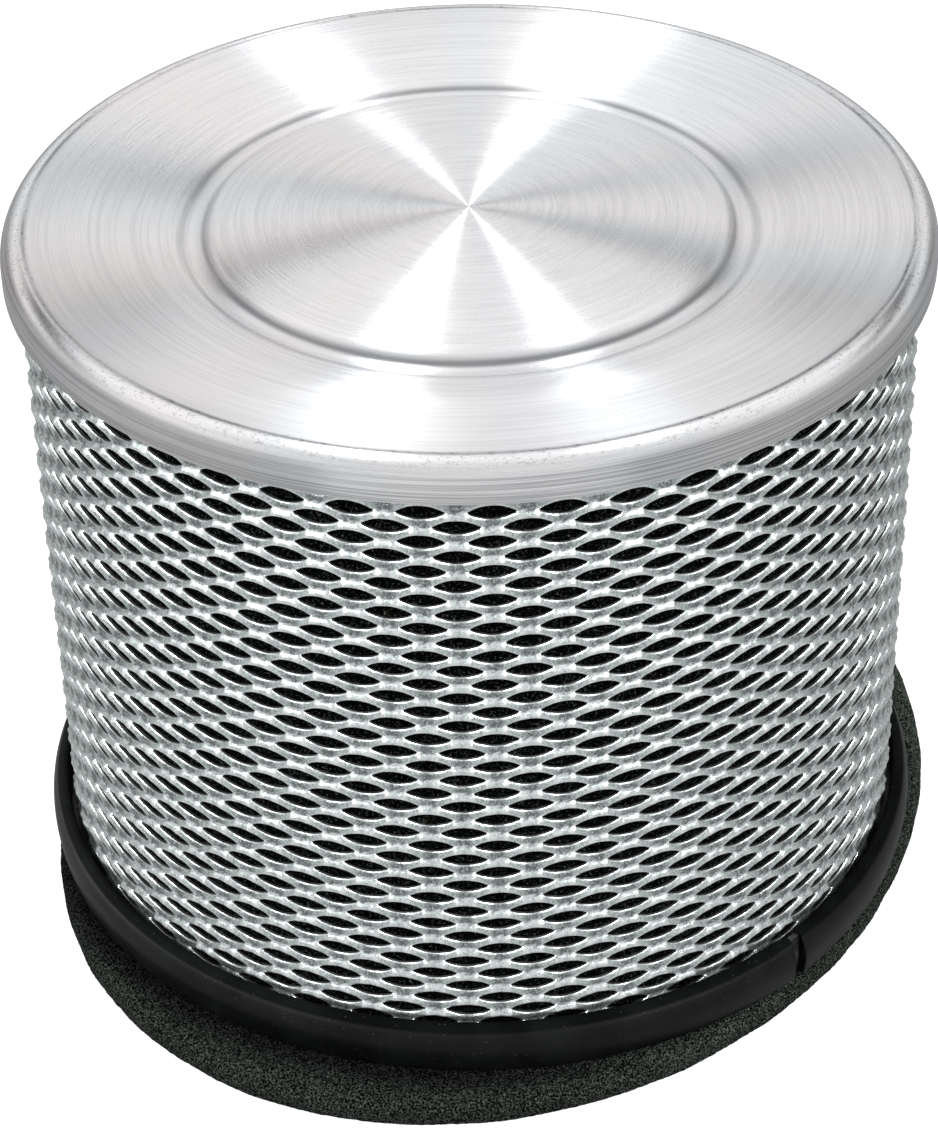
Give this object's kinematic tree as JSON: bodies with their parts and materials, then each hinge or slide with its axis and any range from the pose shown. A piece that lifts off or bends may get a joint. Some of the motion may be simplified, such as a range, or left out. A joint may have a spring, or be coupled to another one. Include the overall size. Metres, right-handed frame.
{
  "type": "air filter",
  "caption": "Drum air filter element: spun metal cap, expanded-metal sleeve over foam and pleated paper, edge-trimmed base pan and oval foam sealing pad with a round outlet.",
  "frame": {"origin": "centre of the outlet opening in the underside of the foam sealing pad, on the drum's axis", "axes": "+Z along the drum's axis from the sealing pad up to the cap; -Y is the front, with the edge trim's butt joint at the front right"},
  "size_m": [0.1488, 0.1636, 0.1162],
  "materials": {
    "spun_aluminium": "turned with a fine circular brush, clear anodised",
    "zinc_plated_mesh": "bright zinc plated, lightly mottled",
    "potting": "set black adhesive, satin",
    "filter_foam": "open-cell foam, matt",
    "adhesive": "dried contact adhesive",
    "filter_paper": "resin-cured filter paper, matt",
    "tinplate": "tinned, satin",
    "core_steel": "zinc plated",
    "pan_paint": "black stove enamel",
    "edge_trim": "black vinyl, satin",
    "gasket_foam": "charcoal open-cell foam, matt"
  },
  "bodies": {
    "root": {"top_cap": "spun_aluminium", "cap_potting": "potting", "outer_screen": "zinc_plated_mesh", "foam_wrap": "filter_foam", "foam_wrap_seam": "adhesive", "pleated_media": "filter_paper", "media_seam_clip": "tinplate", "inner_core": "core_steel", "base_pan": "pan_paint", "base_potting": "potting", "base_band": "edge_trim", "gasket_adhesive": "adhesive", "foam_gasket": "gasket_foam"}
  },
  "joints": []
}
